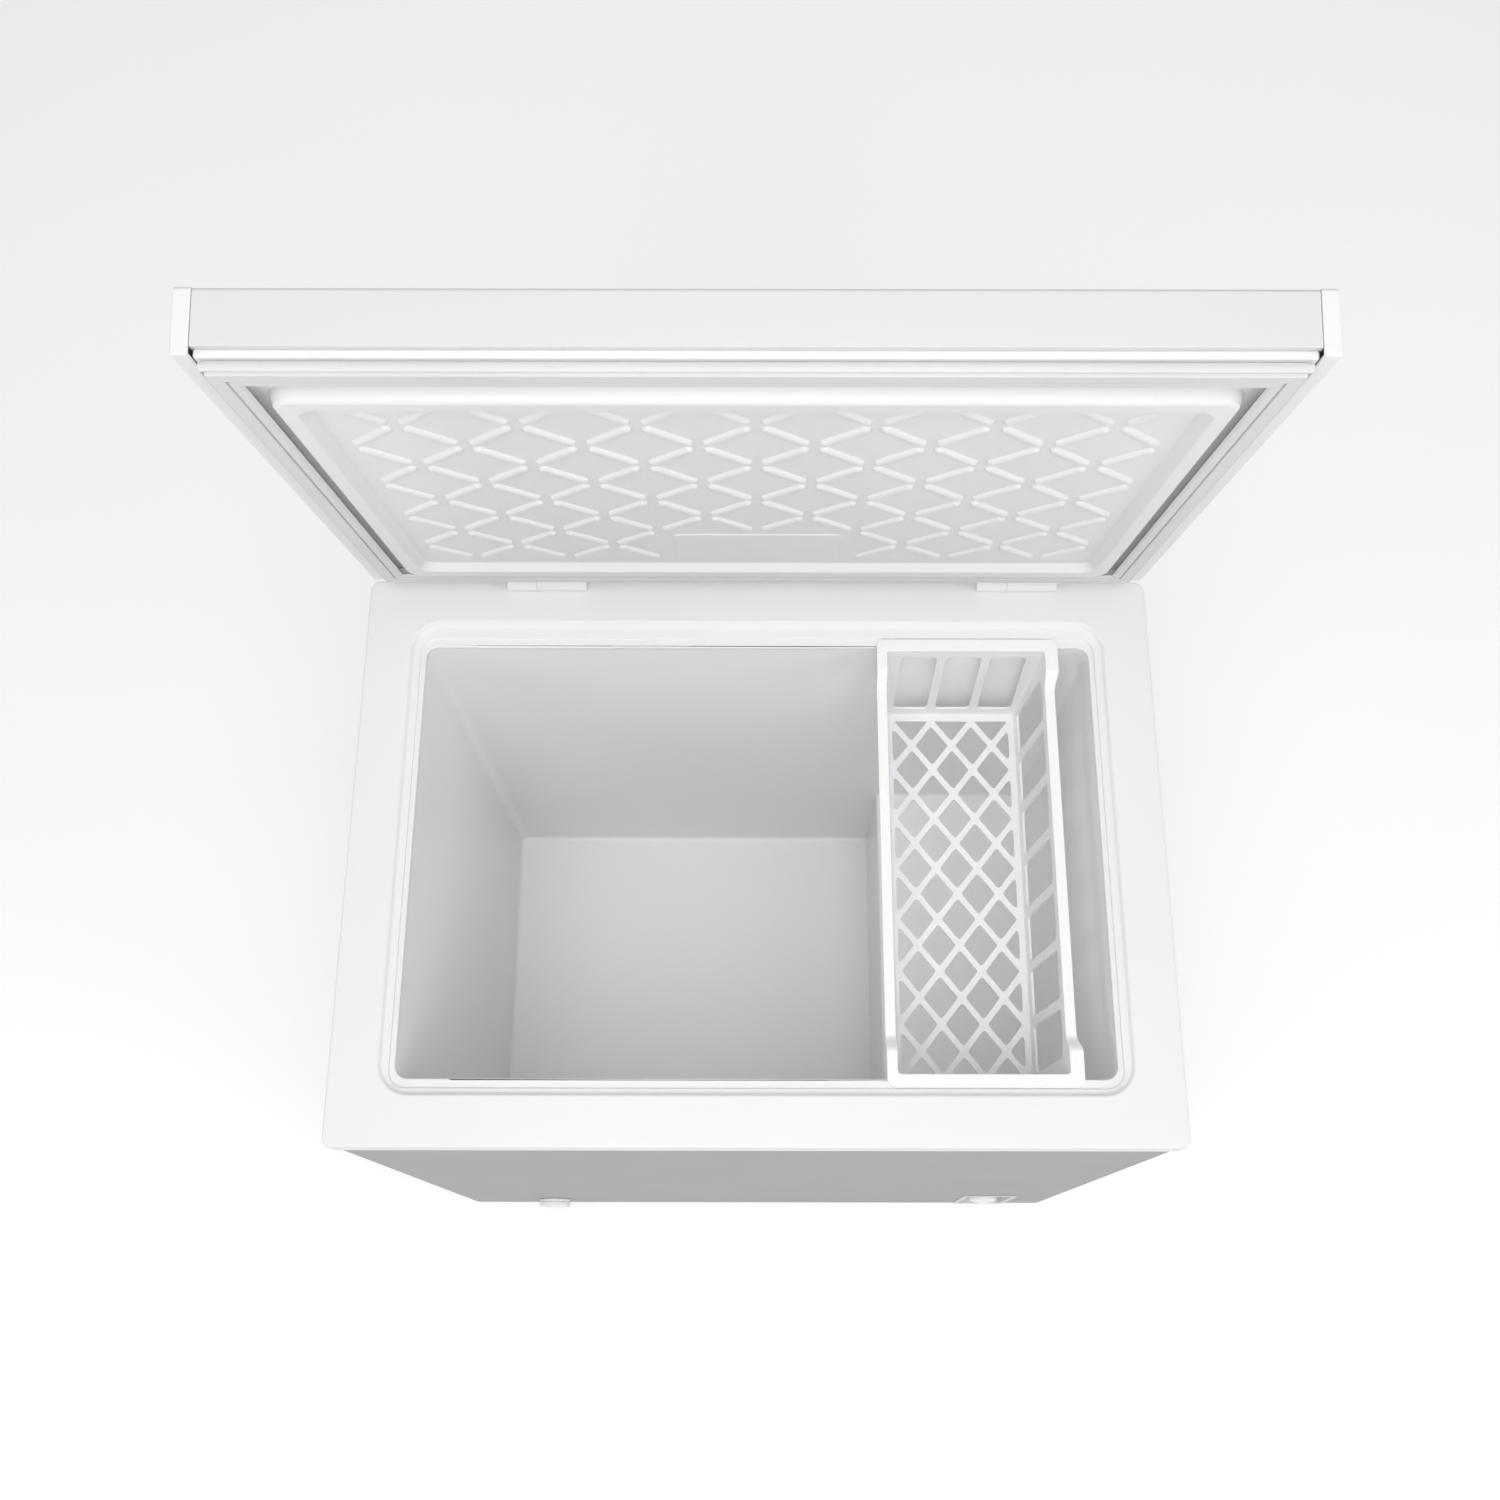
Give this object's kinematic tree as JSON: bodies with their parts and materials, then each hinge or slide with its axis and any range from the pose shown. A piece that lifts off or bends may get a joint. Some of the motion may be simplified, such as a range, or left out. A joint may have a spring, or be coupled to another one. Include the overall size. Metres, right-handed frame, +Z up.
{
  "type": "chest freezer",
  "caption": "White chest freezer with a hinged lid, a plastic-lined well with a step over the compressor, a hanging slotted basket, a thermostat knob and a drain outlet.",
  "frame": {"origin": "on the floor, under the middle of the whole object with its lid open", "axes": "+Z up, +Y towards the back where the hinges are, +X to the right seen from the front, where the controls and the basket are"},
  "size_m": [0.802, 0.6286, 1.3665],
  "materials": {
    "painted_sheet": "satin",
    "hinge_paint": "satin",
    "base_steel": "satin",
    "rim_plastic": "satin",
    "liner_plastic": "satin",
    "basket_plastic": "satin",
    "control_plastic": "satin",
    "cover_plastic": "matte",
    "foam": "matte",
    "gasket_rubber": "matte",
    "black_rubber": "matte",
    "black_plastic": "matte",
    "compressor_paint": "satin",
    "copper_pipe": "polished",
    "pin_steel": "polished",
    "power_lens": "gloss",
    "warning_lens": "gloss"
  },
  "bodies": {
    "cabinet": {"outer_shell": "painted_sheet", "back_panel": "painted_sheet", "hinge_base_left": "hinge_paint", "hinge_base_right": "hinge_paint", "base_plate": "base_steel", "rim_frame": "rim_plastic", "inner_liner": "liner_plastic", "control_panel": "control_plastic", "drain_bezel": "control_plastic", "drain_tube": "control_plastic", "compressor_cover": "cover_plastic", "foam_insulation": "foam", "compressor_mount_1": "black_rubber", "compressor_mount_2": "black_rubber", "compressor_mount_3": "black_rubber", "compressor_mount_4": "black_rubber", "cord_gland": "black_rubber", "foot_front_left": "black_plastic", "foot_front_right": "black_plastic", "foot_rear_left": "black_plastic", "foot_rear_right": "black_plastic", "terminal_cover": "black_plastic", "thermostat_body": "black_plastic", "compressor": "compressor_paint", "evaporator_coil": "copper_pipe", "condenser_coil": "copper_pipe", "filter_drier": "copper_pipe", "discharge_tube": "copper_pipe", "suction_tube": "copper_pipe", "hinge_pin_left": "pin_steel", "hinge_pin_right": "pin_steel", "power_lamp": "power_lens", "warning_lamp": "warning_lens"},
    "lid": {"lid_outer_sheet": "painted_sheet", "lid_end_cap_left": "rim_plastic", "lid_end_cap_right": "rim_plastic", "lid_foam": "foam", "lid_liner": "liner_plastic", "lid_gasket": "gasket_rubber", "hinge_arm_left": "hinge_paint", "hinge_arm_right": "hinge_paint"},
    "basket": {"basket": "basket_plastic"},
    "knob": {"thermostat_knob": "control_plastic"},
    "drain_outlet": {"drain_spout": "control_plastic"},
    "drain_cap": {"drain_dial": "control_plastic"},
    "plug": {"drain_plug": "gasket_rubber"}
  },
  "joints": [
    {"name": "lid_hinge", "type": "hinge", "parent": "cabinet", "child": "lid", "pos_m": [0, 0.26416, 0.801], "axis": [-1, 0, 0], "range_deg": [-79.3, 5]},
    {"name": "basket_slide", "type": "slide", "parent": "cabinet", "child": "basket", "axis": [1, 0, 0], "range_m": [-0.457, 0.03]},
    {"name": "knob_turn", "type": "hinge", "parent": "cabinet", "child": "knob", "pos_m": [0.305, -0.30384, 0.078], "axis": [0, -1, 0], "range_deg": [-270, 0]},
    {"name": "drain_pull", "type": "slide", "parent": "cabinet", "child": "drain_outlet", "axis": [0, -1, 0], "range_m": [0, 0.015]},
    {"name": "drain_turn", "type": "hinge", "parent": "drain_outlet", "child": "drain_cap", "pos_m": [-0.274, -0.30684, 0.076], "axis": [0, -1, 0], "range_deg": [0, 180]},
    {"name": "plug_lift", "type": "slide", "parent": "cabinet", "child": "plug", "axis": [0, 0, 1], "range_m": [0, 0.025]}
  ]
}
